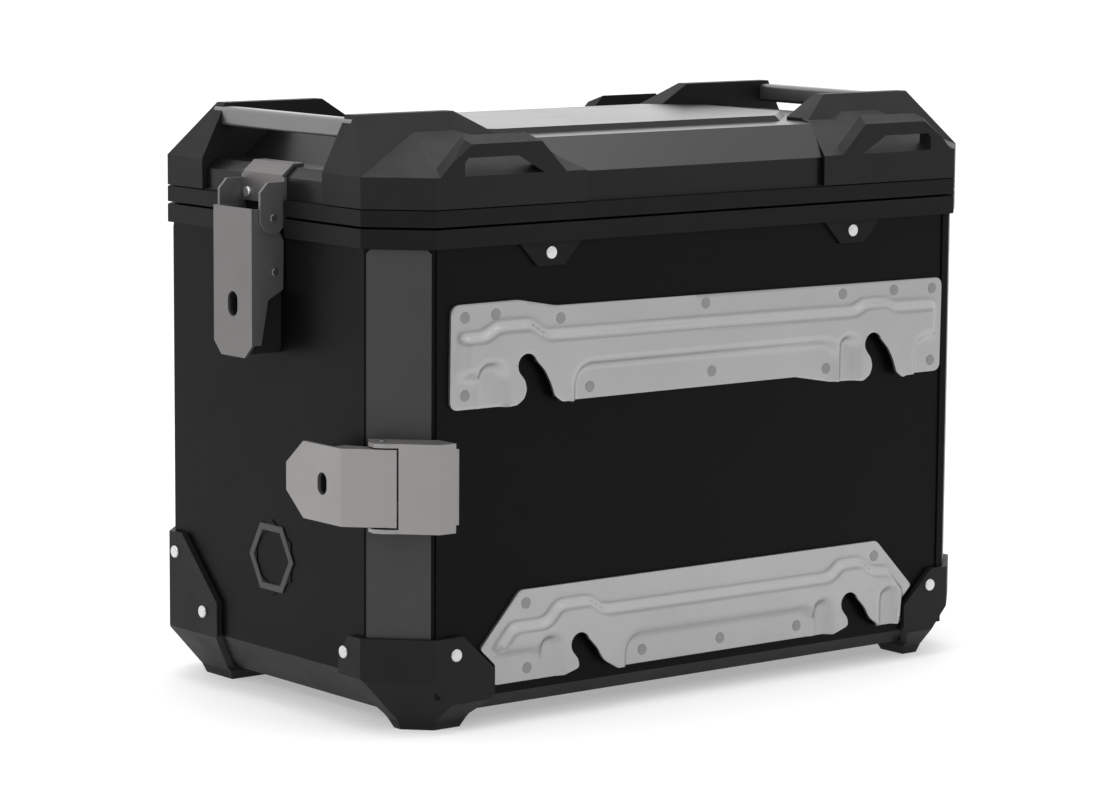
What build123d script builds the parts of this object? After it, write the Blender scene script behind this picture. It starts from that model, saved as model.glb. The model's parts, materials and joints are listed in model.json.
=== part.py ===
from build123d import *
from math import radians, tan
import os

# A lockable aluminium side case for a motorcycle, in millimetres.
# It is drawn about the middle of the metal body: X along the case, -Y towards the
# motorcycle, Z up from the underside of the body.  export() then moves every piece, so
# that the finished model stands on Z = 0 with its box centred on the origin.
# The -X end is the left end and the -Y side is the front.

# ---- body -------------------------------------------------------------------------
HALF_LENGTH = 240.0          # middle of the body to an end face
HALF_WIDTH = 133.3           # middle of the body to a long face
CORNER = 30.0                # leg of the 45 degree chamfer on each upright corner
SHEET = 1.5                  # aluminium sheet of the body and the lid
WALL_TOP = 293.0             # top edge of the body's sheet wall
END_RISE, END_RUN = 26.0, 24.0           # fold along the bottom of each end
SIDE_RISE, SIDE_RUN = 10.0, 11.0         # fold along the bottom of each long side
CORNER_RISE, CORNER_RUN = 24.0, 15.0     # facet under each upright corner
SEAM_X, SEAM_WIDTH, SEAM_PROUD = 206.8, 4.4, 1.0     # lapped upright seam on the long sides
STRIP_HALF, STRIP_THICK, STRIP_TOP = 19.6, 0.8, 284.0    # wear strip on a corner chamfer
STRIP_BOTTOM = {-1: 48.0, 1: 84.0}       # front strips run lower than the rear ones
BADGE_Y, BADGE_Z, BADGE_R = -6.0, 84.0, 24.0         # plain hexagon raised on the left end
BADGE_LINE, BADGE_PROUD = 5.0, 0.6

# ---- seam between body and lid ----------------------------------------------------
SKIN = 3.5                   # how far collar, lid frame and lid caps stand outside the sheet
COLLAR_BOTTOM, COLLAR_TOP = 284.5, 296.0
TAB_X, TAB_TOP_HALF, TAB_HALF, TAB_BOTTOM = 123.5, 25.0, 10.0, 270.0
TAB_THICK, TAB_RIVET_Z = 2.0, 278.0
SEAL_GROOVE = (-2.5, -7.5)   # channel under the lid frame, measured from the sheet's outside
SEAL_DEPTH, SEAL_SLACK, SEAL_GAP = 3.0, 0.2, 0.35
FRAME_BOTTOM, FRAME_TOP = 297.5, 307.3
RIM_INSET = 9.0              # how far the collar and the lid frame reach inside the sheet
BRACKET_NOTCH = 24.5         # half-width of the gap in the lid frame for a latch bracket

# ---- lid --------------------------------------------------------------------------
LID_WALL_TOP = 326.0         # top of the lid's upright side wall
LID_TOP = 345.0              # flat top of the lid
LID_SLOPE_RUN = 31.3         # run of the slope between side wall and top
HAND_FLOOR = 327.0           # floor of the hand recess under the grab rail
PANEL_RISE = 3.5             # raised field pressed into the lid's top
PANEL_HALF_X, PANEL_HALF_Y, PANEL_CORNER = 150.0, 72.0, 34.0
CAP_HALF_GAP = 65.0          # half of the space between the two cap towers of one end
CAP_REACH = 97.0             # |x| where a cap stops on the long side
CAP_SPLAY_X, CAP_SPLAY_Y = 128.0, 80.0   # where a cap's slanting edge reaches the lid's top
CAP_CLEAR = 0.4                          # gap between a cap's slanting edge and the lid
CAP_BOTTOM = FRAME_TOP + 0.8             # shadow gap over the lid frame
CAP_WALL_TOP = 327.0
CAP_SLOPE = 0.44                         # rise of a cap's low slope per run
CAP_LOW_TOP = 346.0                      # top of a cap beside its tower
CAP_SHOULDER = 352.0                     # top of the low slope under the tower's front
CAP_SOLID_Y, CAP_HOLLOW_TOP = -84.0, 342.0   # a tower is solid beyond this y, above this height
SOCKET_X, SOCKET_BOTTOM = -200.0, 340.0  # and solid round the end of the grab rail
TOWER_TOP = 361.3
TOWER_TOP_X = (152.0, 226.0)             # |x| of the flat on top of a cap tower
TOWER_FRONT_Y = (105.0, 74.0)            # |y| of the tower's front plane, at its foot and its top
EYELET_DEPTH = 10.8                      # lashing loop, measured inwards from the wall
EYELET_X, EYELET_TOP = (209.0, 112.0), 346.0
EYELET_SHIFT = {-1: 0.0, 1: 9.0}         # the rear loops sit further in along the case
SLOT_X, SLOT_TOP = (190.0, 130.0), 338.0
RAIL_X, RAIL_Z = 223.5, 353.0            # middle of the grab rail's section
RAIL_HIGH, RAIL_DEEP, RAIL_WALL = 12.0, 10.0, 1.6
RAIL_HALF, RAIL_CORNER, RAIL_BORE_CORNER = 74.0, 2.5, 1.2

# ---- guards and feet --------------------------------------------------------------
GUARD = 4.0                  # plastic thickness of a corner guard
GUARD_EDGE_X = {-1: 166.4, 1: 173.4}     # inner edge of a front guard, beside the lower plate
GUARD_FAR_X, GUARD_FAR_Y = 260.0, 160.0  # well outside the guards
FRONT_GUARD_END = [(-97, -1), (-82, 26), (-82, 34), (-92, 49.2)]       # edge on the end face (y, z)
REAR_GUARD_END = [(74, -1), (50.4, 25.6), (50.4, 46.8), (90, 86)]
REAR_GUARD_LONG = [(-180, -1), (-157, 12), (-157, 46.8), (-197, 86)]   # edge on the long face (x, z)
FRONT_GUARD_RIVETS = [(-88.0, 38.5)], [(-196.0, 38.5)]   # on the end face (y, z), long face (x, z)
REAR_GUARD_RIVETS = [(98.0, 73.3), (66.4, 39.2)], [(-199.0, 73.3), (-172.0, 39.2)]
FOOT_DROP = 10.0             # underside of the body to the floor
FOOT_TAPER = 25.0            # lean of a foot's sides, in degrees
GUARD_LOW = -FOOT_DROP - 1   # below everything of a guard

# ---- end latches ------------------------------------------------------------------
LATCH_SHEET = 2.0
EAR_HALF = 23.2              # outside of the lid bracket's ears
LEVER_HALF = 20.8            # outside of the lever's flanges
HINGE_X, HINGE_Z = 250.1, 296.8          # pin that joins lid bracket and lever
CATCH_X, CATCH_Z = 247.4, 263.5          # pin that draws down on the body's catch
PIN_R = 2.5
RUNNING = 0.05               # radial clearance of a pin in a turning hole
LEVER_FACE = 264.5           # outer face of the lever's web
LEVER_TOP, LEVER_BOTTOM = 302.6, 211.0
LEVER_CORNER = 8.0
EAR_R, EAR_TOP = 9.6, 318.5              # lobe of a bracket ear round the pin, and its top
WEB_BOTTOM, WEB_TOP = 304.5, 321.0
SCREW_Y, SCREW_Z = 16.5, 309.5
KEY_SLOT_Z, KEY_SLOT_W, KEY_SLOT_H = 243.4, 10.5, 15.4
HOUSING_DEEP, HOUSING_HALF, HOUSING_Z = 21.8, 17.0, (213.0, 257.5)
HOUSING_BEVEL, BORE_DEEP = 3.0, 18.0
CATCH_THICK, CATCH_HALF, CATCH_BASE_Z = 2.0, 16.0, (260.5, 282.0)
CATCH_ARM_Y, CATCH_ARM_THICK = (-12.0, 9.0), 3.0
CATCH_RIVET_Y, CATCH_RIVET_Z = 3.5, 277.5
SMALL_HEAD = (3.0, 0.8)      # low rivet heads under the latches
PIN_PROUD, PIN_BEVEL = 0.8, 0.5

# ---- carrier latch on the front left corner ---------------------------------------
CARRIER_Z = 143.5            # middle height
CARRIER_LEVER_HALF = 23.5
CARRIER_BASE_HALF = 27.0
CARRIER_PIVOT = (-239.3, -120.8)
CARRIER_SHEET = 2.5
CARRIER_KEY_Y = -91.0
CARRIER_WEB_END = (-220.0, -152.7)       # outer bend of the bracket's 45 degree web
CARRIER_LIP_X = -208.0
CARRIER_FACE_X = -262.0      # outside of the lever's arm along the end face
CARRIER_DIAG = CARRIER_PIVOT[0] + CARRIER_PIVOT[1] - 12.7    # x + y on the 45 degree faces
CARRIER_TIP_Y = -53.3        # free end of the lever
CARRIER_SLOT_W, CARRIER_SLOT_H = 9.5, 13.5
CLAW_HALF = 23.0
CLAW_TIP_X = -203.5
CARRIER_HOUSING_DEEP, CARRIER_HOUSING_HALF = 19.0, 17.0
CARRIER_HOUSING_Y, CARRIER_BORE_DEEP = (-103.0, -62.0), 15.0
CARRIER_RIVET_RISE = 14.0

# ---- mounting plates --------------------------------------------------------------
PLATE = 2.0
PRESSING = 5.0               # how far the channel is pressed out of the plate
HOOK_SEAT_R = 7.4

# ---- rivets -----------------------------------------------------------------------
RIVET_R = 2.0                # shank
DOME_R, DOME_H = 4.0, 1.4
FLUSH_R, FLUSH_H = 3.5, 0.3

FRONT_EXTENT = -CARRIER_WEB_END[1]
REAR_EXTENT = HALF_WIDTH + GUARD
CENTRE = Pos(0, (FRONT_EXTENT - REAR_EXTENT) / 2, FOOT_DROP)
SIDES = {"left": -1, "right": 1}
FACES = {"front": -1, "rear": 1}
DIAG = 2 ** 0.5
HALF_DIAGONAL = (HALF_LENGTH + HALF_WIDTH - CORNER) / DIAG


# ---- helpers ----------------------------------------------------------------------
def prism(points, vector):
    """A closed flat outline of 3-D points, pushed along a vector."""
    wire = Wire.make_polygon([Vector(*p) for p in points])
    return Solid.extrude(Face(wire), Vector(*vector))


def prism_xz(points, y0, y1):
    return prism([(x, y0, z) for x, z in points], (0, y1 - y0, 0))


def prism_yz(points, x0, x1):
    return prism([(x0, y, z) for y, z in points], (x1 - x0, 0, 0))


def prism_xy(points, z0, z1):
    return prism([(x, y, z0) for x, y in points], (0, 0, z1 - z0))


def block(x, y, z):
    """A box from three (low, high) pairs."""
    size = Box(x[1] - x[0], y[1] - y[0], z[1] - z[0], align=Align.MIN)
    return Pos(x[0], y[0], z[0]) * size


def bar(radius, centre, half, axis):
    """A round bar of half-length half about centre, along axis."""
    return Plane(origin=centre, z_dir=axis).location * Cylinder(radius, 2 * half)


def oblong(width, height, centre, reach):
    """A round-ended upright slot tool, reaching both ways along X."""
    straight = (height - width) / 2
    x, y, z = centre
    tool = block((x - reach, x + reach), (y - width / 2, y + width / 2), (z - straight, z + straight))
    for dz in (-straight, straight):
        tool += bar(width / 2, (x, y, z + dz), reach, (1, 0, 0))
    return tool


def mirrored_x(shape):
    return mirror(shape, about=Plane.YZ)


def mirrored_y(shape):
    return mirror(shape, about=Plane.XZ)


def to_corner(shape, side, face):
    """Moves a piece drawn at the front left corner to another corner."""
    if side > 0:
        shape = mirrored_x(shape)
    if face > 0:
        shape = mirrored_y(shape)
    return shape


def group(shapes):
    return Compound(list(shapes))


def export(name, shape):
    part = CENTRE * shape
    part.label = name
    export_step(part, f"parts/{name}.step")


def octagon(grow):
    """Corners of the body's plan outline, grown outwards."""
    x, y = HALF_LENGTH + grow, HALF_WIDTH + grow
    c = CORNER + grow * (2 - DIAG)
    return [(-x, c - y), (c - x, -y), (x - c, -y), (x, c - y),
            (x, y - c), (x - c, y), (c - x, y), (-x, y - c)]


def ring(outer, inner, z0, z1):
    return prism_xy(octagon(outer), z0, z1) - prism_xy(octagon(inner), z0 - 1, z1 + 1)


def rivet(centre, out, grip, head=(DOME_R, DOME_H), shank=RIVET_R):
    """A blind rivet: domed head, shank through the sheets, and the bulb behind them."""
    cap = Cylinder(head[0], head[1], align=(Align.CENTER, Align.CENTER, Align.MIN))
    cap = fillet(cap.edges().group_by(Axis.Z)[-1], head[1] * 0.85)
    stem = Pos(0, 0, -grip / 2) * Cylinder(shank, grip)
    bulb = Pos(0, 0, -grip - 1.0) * Cylinder(shank * 1.5, 2.0)
    return Plane(origin=centre, z_dir=out).location * (cap + stem + bulb)


# ---- body -------------------------------------------------------------------------
def fold_profile(half, rise, run, grow, top):
    """Upright section of the body with the fold along its bottom, grown outwards."""
    slant = (rise ** 2 + run ** 2) ** 0.5
    nx, nz = rise / slant, -run / slant
    plane = nx * half + nz * rise + grow
    side, bottom = half + grow, -grow
    high = (plane - nx * side) / nz
    low = (plane - nz * bottom) / nx
    return [(-low, bottom), (low, bottom), (side, high), (side, top), (-side, top), (-side, high)]


def body_block(grow, top):
    """The body as one lump with all its folds and facets, grown outwards."""
    lump = prism_xy(octagon(grow), -grow, top)
    lump &= prism_xz(fold_profile(HALF_LENGTH, END_RISE, END_RUN, grow, top), -300, 300)
    lump &= prism_yz(fold_profile(HALF_WIDTH, SIDE_RISE, SIDE_RUN, grow, top), -300, 300)
    facet = prism_xz(fold_profile(HALF_DIAGONAL, CORNER_RISE, CORNER_RUN, grow, top), -400, 400)
    for angle in (-45, 45):
        lump &= Rot(0, 0, angle) * facet
    return lump


def seam_rib(side, face):
    """The lapped edge of the long side's sheet, beside an upright corner."""
    x, y = side * SEAM_X, face * HALF_WIDTH
    rib = block((x - SEAM_WIDTH / 2, x + SEAM_WIDTH / 2),
                sorted((y, y + face * SEAM_PROUD)), (SIDE_RISE + 2, COLLAR_BOTTOM))
    return rib


def badge():
    """A plain hexagonal outline raised on the left end."""
    plane = Plane(origin=(-HALF_LENGTH, BADGE_Y, BADGE_Z), z_dir=(-1, 0, 0))
    outline = RegularPolygon(BADGE_R, 6) - RegularPolygon(BADGE_R - BADGE_LINE, 6)
    return extrude(plane * outline, BADGE_PROUD)


def case_shell(rivets):
    shell = body_block(0, WALL_TOP) - body_block(-SHEET, WALL_TOP + 10)
    for face in (-1, 1):
        for side in (-1, 1):
            shell += seam_rib(side, face)
    shell += badge()
    return shell - rivets


def wear_strip(side, face):
    """A thin strip bonded on one upright corner chamfer."""
    tall = STRIP_TOP - STRIP_BOTTOM[face] + 10
    strip = Pos(0, 0, STRIP_BOTTOM[face] - 10) * Box(
        2 * STRIP_HALF, STRIP_THICK, tall, align=(Align.CENTER, Align.MAX, Align.MIN))
    middle = (-HALF_LENGTH + CORNER / 2, -HALF_WIDTH + CORNER / 2)
    corners = strip.edges().filter_by(Axis.Y).group_by(Axis.Z)[-1]
    strip = Pos(*middle, 0) * Rot(0, 0, -45) * chamfer(corners, 2.5)
    return to_corner(strip, side, face)


def bracket_notches():
    """Gaps in the collar and in the lid frame that the latch ears turn in."""
    notch = block((-300, -HALF_LENGTH), (-BRACKET_NOTCH, BRACKET_NOTCH), (280, 320))
    return notch + mirrored_x(notch)


def tab_outline(x):
    return [(x - TAB_TOP_HALF, COLLAR_BOTTOM + 1), (x - TAB_HALF, TAB_BOTTOM),
            (x + TAB_HALF, TAB_BOTTOM), (x + TAB_TOP_HALF, COLLAR_BOTTOM + 1)]


def top_collar(rivets):
    """The frame that caps the body's edge, with two riveted tabs on each long side."""
    collar = ring(SKIN, 0, COLLAR_BOTTOM, COLLAR_TOP)
    collar += ring(1, -RIM_INSET, WALL_TOP, COLLAR_TOP)
    collar -= bracket_notches()
    for face in (-1, 1):
        y = face * HALF_WIDTH
        for x in (-TAB_X, TAB_X):
            collar += prism_xz(tab_outline(x), y, y + face * TAB_THICK)
    return collar - rivets


def collar_rivets():
    return [rivet((x, face * (HALF_WIDTH + TAB_THICK), TAB_RIVET_Z), (0, face, 0), TAB_THICK + SHEET)
            for face in (-1, 1) for x in (-TAB_X, TAB_X)]


# ---- corner guards ----------------------------------------------------------------
def guard_outlines(side, face):
    """Outlines of a guard drawn at the left: on the end face (y, z) and long face (x, z)."""
    if face < 0:
        edge = -GUARD_EDGE_X[side]
        end_edge = FRONT_GUARD_END
        long_edge = [(edge - 12, -1), (edge, 12), (edge, 27), (edge - 24, 49.2)]
    else:
        end_edge, long_edge = REAR_GUARD_END, REAR_GUARD_LONG
    y = face * GUARD_FAR_Y
    end = [(y, GUARD_LOW), (end_edge[0][0], GUARD_LOW)] + end_edge + [(y, end_edge[-1][1])]
    x = -GUARD_FAR_X
    long = [(x, GUARD_LOW), (long_edge[0][0], GUARD_LOW)] + long_edge + [(x, long_edge[-1][1])]
    return end, long


def lower_edge(half, rise, run):
    """Distance from the middle to where a guard's fold reaches the guard's underside."""
    return fold_profile(half, rise, run, GUARD, 0)[1][0]


def foot(side, face):
    """The tapered nub under a left-hand guard; its top edge is the guard's own lower edge."""
    height = FOOT_DROP - GUARD
    lean = height * tan(radians(FOOT_TAPER))
    outer_x = lower_edge(HALF_LENGTH, END_RISE, END_RUN) - lean
    outer_y = lower_edge(HALF_WIDTH, SIDE_RISE, SIDE_RUN) - lean
    corner = DIAG * (lower_edge(HALF_DIAGONAL, CORNER_RISE, CORNER_RUN) - lean)
    end, long = guard_outlines(side, face)
    inner_x, inner_y = abs(long[1][0]) + lean, abs(end[1][0]) + lean
    outline = [(-outer_x, -inner_y), (-outer_x, outer_x - corner), (outer_y - corner, -outer_y),
               (-inner_x, -outer_y), (-inner_x, -inner_y)]
    plan = make_face(Polyline(*outline, close=True))
    nub = extrude(Pos(0, 0, -FOOT_DROP) * plan, height, taper=-FOOT_TAPER)
    return mirrored_y(nub) if face > 0 else nub


def corner_guard(side, face, outer, inner, rivets):
    end, long = guard_outlines(side, face)
    guard = (outer - inner) & prism_yz(end, -260, -100) & prism_xz(long, -160, 160)
    guard += foot(side, face)
    guard -= group([seam_rib(-1, face), wear_strip(-1, face)])
    guard -= rivets
    return mirrored_x(guard) if side > 0 else guard


def guard_rivets(face):
    """Rivets of a left-hand guard, on its end face and on its long face."""
    grip = GUARD + SHEET
    on_end, on_long = FRONT_GUARD_RIVETS if face < 0 else REAR_GUARD_RIVETS
    spots = [((-HALF_LENGTH - GUARD, y, z), (-1, 0, 0)) for y, z in on_end]
    spots += [((x, face * (HALF_WIDTH + GUARD), z), (0, face, 0)) for x, z in on_long]
    return [rivet(centre, out, grip) for centre, out in spots]


# ---- mounting plates --------------------------------------------------------------
def hook_slot(x, z):
    """The open hook slot that drops over a carrier stud, its seat centred on (x, z)."""
    edge = [(5.6, 4.8), (10.5, 1.5), (14.5, -4.6), (18.4, -13.1), (21.5, -21.0), (27.0, -34.0),
            (-12.0, -34.0), (-6.5, -23.4), (-1.8, -19.0), (-0.6, -14.0), (-2.6, -9.5), (-6.0, -4.4)]
    tool = prism_xz([(x + dx, z + dz) for dx, dz in edge], -HALF_WIDTH - 20, -HALF_WIDTH)
    tool += bar(HOOK_SEAT_R, (x, -HALF_WIDTH - 10, z), 10, (0, 1, 0))
    return tool


def pressed_plate(outline, channel, seats, rivets):
    """A flat plate with a channel pressed outwards from it and open hook slots."""
    flat = prism_xz(outline, -HALF_WIDTH - PLATE, -HALF_WIDTH)
    sketch = make_face(Polyline(*channel, close=True))
    hill = extrude(Plane.XZ.offset(HALF_WIDTH) * sketch, PLATE + PRESSING, taper=40)
    hollow_sketch = offset(sketch, -PLATE / 2, kind=Kind.INTERSECTION)
    hollow = extrude(Plane.XZ.offset(HALF_WIDTH) * hollow_sketch, PRESSING, taper=40)
    limit = prism_xz(outline, -HALF_WIDTH - 20, -HALF_WIDTH)
    plate = (flat + (hill & limit)) - hollow
    for x, z in seats:
        plate -= hook_slot(x, z)
    return plate - rivets


UPPER_SEATS = [(-144.7, 211.0), (138.9, 203.9)]
UPPER_OUTLINE = [(-199.8, 192.0), (-198.4, 245.0), (-193.0, 250.4), (-148.8, 250.7), (-119.5, 245.7),
                 (200.0, 243.0), (203.7, 239.0), (202.8, 186.0), (197.0, 181.0), (106.0, 180.9),
                 (75.8, 186.2), (-101.9, 186.7), (-194.5, 186.7)]
UPPER_CHANNEL = [(-172, 170), (-172, 226), (-160, 235), (-136, 237), (-120, 228), (122, 228),
                 (132, 231), (168, 231), (184, 222), (184, 165), (112, 165), (112, 194),
                 (101, 205), (-92, 205), (-106, 191), (-106, 170)]
UPPER_RIVETS = [(-188.7, 242.5), (-165.4, 243.1), (-115.6, 237.5), (0.2, 239.1), (116.1, 237.3),
                (161.0, 237.0), (195.0, 236.2), (194.5, 188.6), (102.3, 189.9), (5.8, 195.7),
                (-92.5, 193.6), (-188.5, 195.5)]

LOWER_SEATS = [(-102.2, 34.8), (121.8, 34.8)]
LOWER_OUTLINE = [(-165.0, 15.8), (-165.0, 28.5), (-176.5, 39.3), (-146.0, 72.8), (147.2, 72.8),
                 (152.6, 70.2), (181.2, 39.8), (172.0, 31.5), (172.0, 15.8)]
LOWER_CHANNEL = [(-128, 0), (-128, 48), (-118, 57), (-104, 62), (-88, 57), (108, 57), (116, 61),
                 (130, 61), (156, 50), (164, 40), (164, 0), (92, 0), (92, 26), (83, 33.6),
                 (-56, 33.6), (-64, 26), (-64, 0)]
LOWER_RIVETS = [(-141.3, 64.2), (-140.3, 23.7), (-49.0, 24.2), (15.3, 23.9), (80.2, 24.2),
                (147.4, 62.8)]


def plate_rivets(spots):
    return [rivet((x, -HALF_WIDTH - PLATE, z), (0, -1, 0), PLATE + SHEET, (FLUSH_R, FLUSH_H))
            for x, z in spots]


# ---- lid --------------------------------------------------------------------------
def lid_profile(wall, slope, top, grow, half):
    """Section of the lid across its width: upright wall, slope and flat top."""
    side = half + grow
    edge = side - slope
    return [(-side, FRAME_BOTTOM - 5), (-side, wall), (-edge, top), (edge, top), (side, wall),
            (side, FRAME_BOTTOM - 5)]


def hand_profile(inset):
    """Section of the lid along its length through the hand recess at each end."""
    x = HALF_LENGTH - inset
    floor, top = HAND_FLOOR - inset, LID_TOP - inset
    return [(-x, FRAME_BOTTOM - 5), (-x, floor - 6), (7 - x, floor), (28 - x, floor),
            (49 - x, top), (x - 49, top), (x - 28, floor), (x - 7, floor), (x, floor - 6),
            (x, FRAME_BOTTOM - 5)]


def splayed_plan(grow):
    """Plan of the lid between its end caps; its edges slant outwards towards the top."""
    near, far = CAP_REACH + grow, CAP_SPLAY_X + grow
    side = HALF_WIDTH + SKIN
    quarter = [(near, side + 50), (near, side), (far, CAP_SPLAY_Y)]
    right = quarter + [(x, -y) for x, y in quarter[::-1]]
    return right + [(-x, y) for x, y in right[::-1]]


def lid_block(inset):
    """Outside of the metal lid: full height in the middle, a low shoulder under the caps."""
    plan = prism_xy(octagon(-inset), FRAME_BOTTOM, TOWER_TOP)
    high = prism_yz(lid_profile(LID_WALL_TOP - inset / 2, LID_SLOPE_RUN, LID_TOP - inset,
                                -inset, HALF_WIDTH), -300, 300)
    middle = prism_xy(splayed_plan(-CAP_CLEAR - inset), 0, 400)
    along = block((-300, 300), (inset - CAP_HALF_GAP, CAP_HALF_GAP - inset), (0, 400))
    along &= prism_xz(hand_profile(inset), -200, 200)
    shoulder = block((-300, 300), (-200, 200), (0, HAND_FLOOR - 6 - inset))
    under_floor = block((inset + 7 - HALF_LENGTH, HALF_LENGTH - 7 - inset),
                        (12 - HALF_WIDTH, HALF_WIDTH - 12), (0, HAND_FLOOR - inset))
    return plan & ((high & (middle + along)) + shoulder + under_floor)


def raised_panel():
    """The field pressed up from the top of the lid."""
    outline = chamfer(Rectangle(2 * PANEL_HALF_X, 2 * PANEL_HALF_Y).vertices(), PANEL_CORNER)
    return extrude(Pos(0, 0, LID_TOP - 0.01) * outline, PANEL_RISE, taper=45)


def lid_shell():
    outside = lid_block(0) + raised_panel()
    inside = lid_block(SHEET) + Pos(0, 0, -SHEET) * raised_panel()
    return outside - inside - block((-300, 300), (-200, 200), (0, FRAME_TOP - 3))


def lid_frame():
    """The frame along the lid's lower edge, with the channel that holds the seal."""
    frame = ring(SKIN, -RIM_INSET, FRAME_BOTTOM, FRAME_TOP)
    frame -= ring(0, -SHEET, FRAME_TOP - 3, FRAME_TOP + 1)
    frame -= ring(*SEAL_GROOVE, FRAME_BOTTOM - 1, FRAME_BOTTOM + SEAL_DEPTH)
    return frame - bracket_notches()


def lid_seal():
    """Rubber strip in the frame's channel; it stops just short of the collar."""
    outer, inner = SEAL_GROOVE[0] - SEAL_SLACK, SEAL_GROOVE[1] + SEAL_SLACK
    return ring(outer, inner, COLLAR_TOP + SEAL_GAP, FRAME_BOTTOM + SEAL_DEPTH)


def cap_corner(inset, slope):
    """The space inside an upright corner chamfer, which may lean inwards above the wall."""
    far = HALF_DIAGONAL + SKIN - inset
    wall, run = CAP_WALL_TOP - inset, 120.0
    profile = [(-far, 290), (-far, wall), (run * slope[0] - far, wall + run * slope[1]),
               (0, wall + run * slope[1]), (0, 290)]
    return Rot(0, 0, 45) * prism_xz(profile, -300, 300)


def cap_low(inset):
    """Low part of a front left cap: walls, end slope and the shallow slope over the front."""
    x, y = inset - HALF_LENGTH - SKIN, inset - HALF_WIDTH - SKIN
    wall, top, low = CAP_WALL_TOP - inset, CAP_SHOULDER - inset, CAP_LOW_TOP - inset
    steep = (TOWER_TOP - CAP_WALL_TOP) / (HALF_LENGTH + SKIN - TOWER_TOP_X[1])
    along = [(x, CAP_BOTTOM), (x, wall), (x + (top - wall) / steep, top), (-165 - inset, top),
             (-145 - inset, low), (0, low), (0, CAP_BOTTOM)]
    across = [(y, CAP_BOTTOM), (y, wall), (y + (top - wall) / CAP_SLOPE, top),
              (-CAP_HALF_GAP - inset, top), (-CAP_HALF_GAP - inset, CAP_BOTTOM)]
    low_part = prism_xz(along, -200, 0) & prism_yz(across, -300, 0)
    return low_part & cap_corner(inset, (1.0, CAP_SLOPE))


def cap_tower(inset):
    """Tall part of a front left cap beside the hand recess."""
    x = inset - HALF_LENGTH - SKIN
    wall, top = CAP_WALL_TOP - inset, TOWER_TOP - inset
    run = (TOWER_TOP - CAP_LOW_TOP) / 0.6
    low_x, high_x = inset - TOWER_TOP_X[1], -TOWER_TOP_X[0] - inset
    along = [(x, CAP_BOTTOM), (x, wall), (low_x, top), (high_x, top),
             (high_x + run, CAP_LOW_TOP - inset), (high_x + run, CAP_BOTTOM)]
    foot, crest = (0.45 * inset - y for y in TOWER_FRONT_Y)
    across = [(foot, CAP_BOTTOM), (foot, wall), (crest, top), (-CAP_HALF_GAP - inset, top),
              (-CAP_HALF_GAP - inset, CAP_BOTTOM)]
    tower = prism_xz(along, -200, 0) & prism_yz(across, -300, 0)
    return tower & cap_corner(inset, (0.0, 1.0))


def cap_block(inset):
    """Outside of a cap, moved inwards by an inset."""
    x, y = CAP_REACH + inset, HALF_WIDTH + SKIN
    edge = [(-300, -y - 50), (-x, -y - 50), (-x, -y), (-CAP_SPLAY_X - inset, -CAP_SPLAY_Y),
            (-CAP_SPLAY_X - inset, 0), (-300, 0)]
    return (cap_low(inset) + cap_tower(inset)) & prism_xy(edge, 0, 400)


def eyelet(shift):
    """Lashing loop that stands on a front left cap's slope, with the slot under its bar."""
    y, lift = -HALF_WIDTH - SKIN, EYELET_DEPTH * CAP_SLOPE
    left, right = shift - EYELET_X[0], shift - EYELET_X[1]
    foot, top = CAP_WALL_TOP - 1, EYELET_TOP + lift
    lean = top - foot
    loop = prism_xz([(left, foot - 4), (left, foot), (left + lean, top), (right - lean, top),
                     (right, foot), (right, foot - 4)], y, y + EYELET_DEPTH)
    loop &= prism_yz([(y, 300), (y, EYELET_TOP), (y + EYELET_DEPTH, top), (y + EYELET_DEPTH, 300)],
                     -300, 0)
    left, right = shift - SLOT_X[0], shift - SLOT_X[1]
    slot = [(left, 318), (left, SLOT_TOP - 2.5), (left + 2.5, SLOT_TOP), (right - 20, SLOT_TOP),
            (right, CAP_WALL_TOP), (right, 318)]
    loop -= prism([(x, y, z) for x, z in slot], (0, 2 * EYELET_DEPTH, 2 * lift))
    return loop & cap_corner(0, (1.0, 1.0))


def lid_cap(side, face, lid, rails):
    """Plastic corner of the lid: skirt, tower, lashing loop and socket for the grab rail."""
    cap = cap_block(0) + eyelet(EYELET_SHIFT[face])
    hollow = cap_block(SKIN) - block((-300, 0), (-200, CAP_SOLID_Y), (300, 400))
    hollow -= block((-300, SOCKET_X), (-200, 0), (SOCKET_BOTTOM, 400))
    hollow += cap_low(SKIN) & block((-300, 0), (-200, CAP_SOLID_Y), (0, CAP_HOLLOW_TOP))
    cap = cap - hollow - lid - rails
    cap = max(cap.solids(), key=lambda solid: solid.volume)
    return to_corner(cap, side, face)


def grab_rail(side):
    """Rounded rectangular tube between the two towers of one end."""
    plane = Plane(origin=(side * RAIL_X, RAIL_HALF, RAIL_Z), z_dir=(0, -1, 0), x_dir=(1, 0, 0))
    bore = RectangleRounded(RAIL_DEEP - 2 * RAIL_WALL, RAIL_HIGH - 2 * RAIL_WALL, RAIL_BORE_CORNER)
    return rail_space(side) - extrude(plane * bore, 2 * RAIL_HALF)


def rail_space(side):
    """The rail as a solid bar, which cuts its sockets in the caps."""
    outline = RectangleRounded(RAIL_DEEP, RAIL_HIGH, RAIL_CORNER)
    plane = Plane(origin=(side * RAIL_X, RAIL_HALF, RAIL_Z), z_dir=(0, -1, 0), x_dir=(1, 0, 0))
    return extrude(plane * outline, 2 * RAIL_HALF)


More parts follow.
